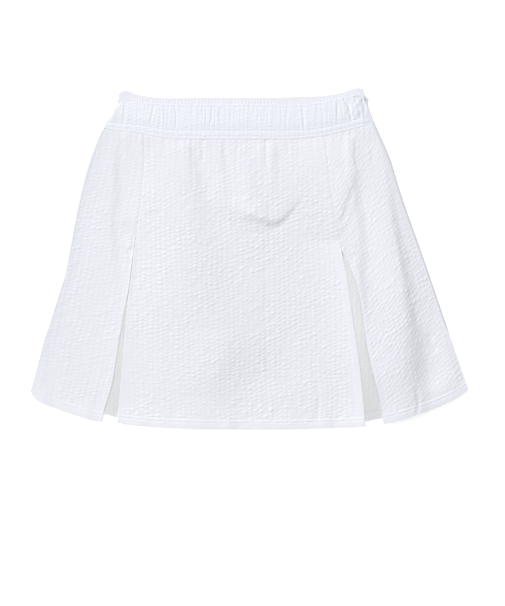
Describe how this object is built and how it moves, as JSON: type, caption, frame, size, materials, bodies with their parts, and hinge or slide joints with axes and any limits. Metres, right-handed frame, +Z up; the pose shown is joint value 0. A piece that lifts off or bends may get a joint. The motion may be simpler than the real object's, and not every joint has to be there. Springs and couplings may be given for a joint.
{
  "type": "tennis skirt",
  "caption": "Pull-on A-line tennis skirt in white seersucker, laid flat: gathered elastic waistband, princess seams and a front slit at each side over a pleat underlay.",
  "frame": {"origin": "under the middle of the garment's box, on the surface that it lies on", "axes": "+X to the right as seen, +Y from the hem to the waist, +Z up from the surface, out of the garment's front"},
  "size_m": [0.525, 0.4102, 0.0111],
  "materials": {
    "seersucker": "white puckered seersucker, matt",
    "underlay": "thin white cloth in shade, matt",
    "waistband": "white seersucker gathered over elastic, matt",
    "band_inside": "white ribbed elastic facing, matt"
  },
  "bodies": {
    "root": {"front_panel": "seersucker", "side_panel_left": "seersucker", "side_panel_right": "seersucker", "back_panel": "seersucker", "pleat_underlay_left": "underlay", "pleat_underlay_right": "underlay", "waistband_front": "waistband", "waistband_back": "band_inside"}
  },
  "joints": []
}
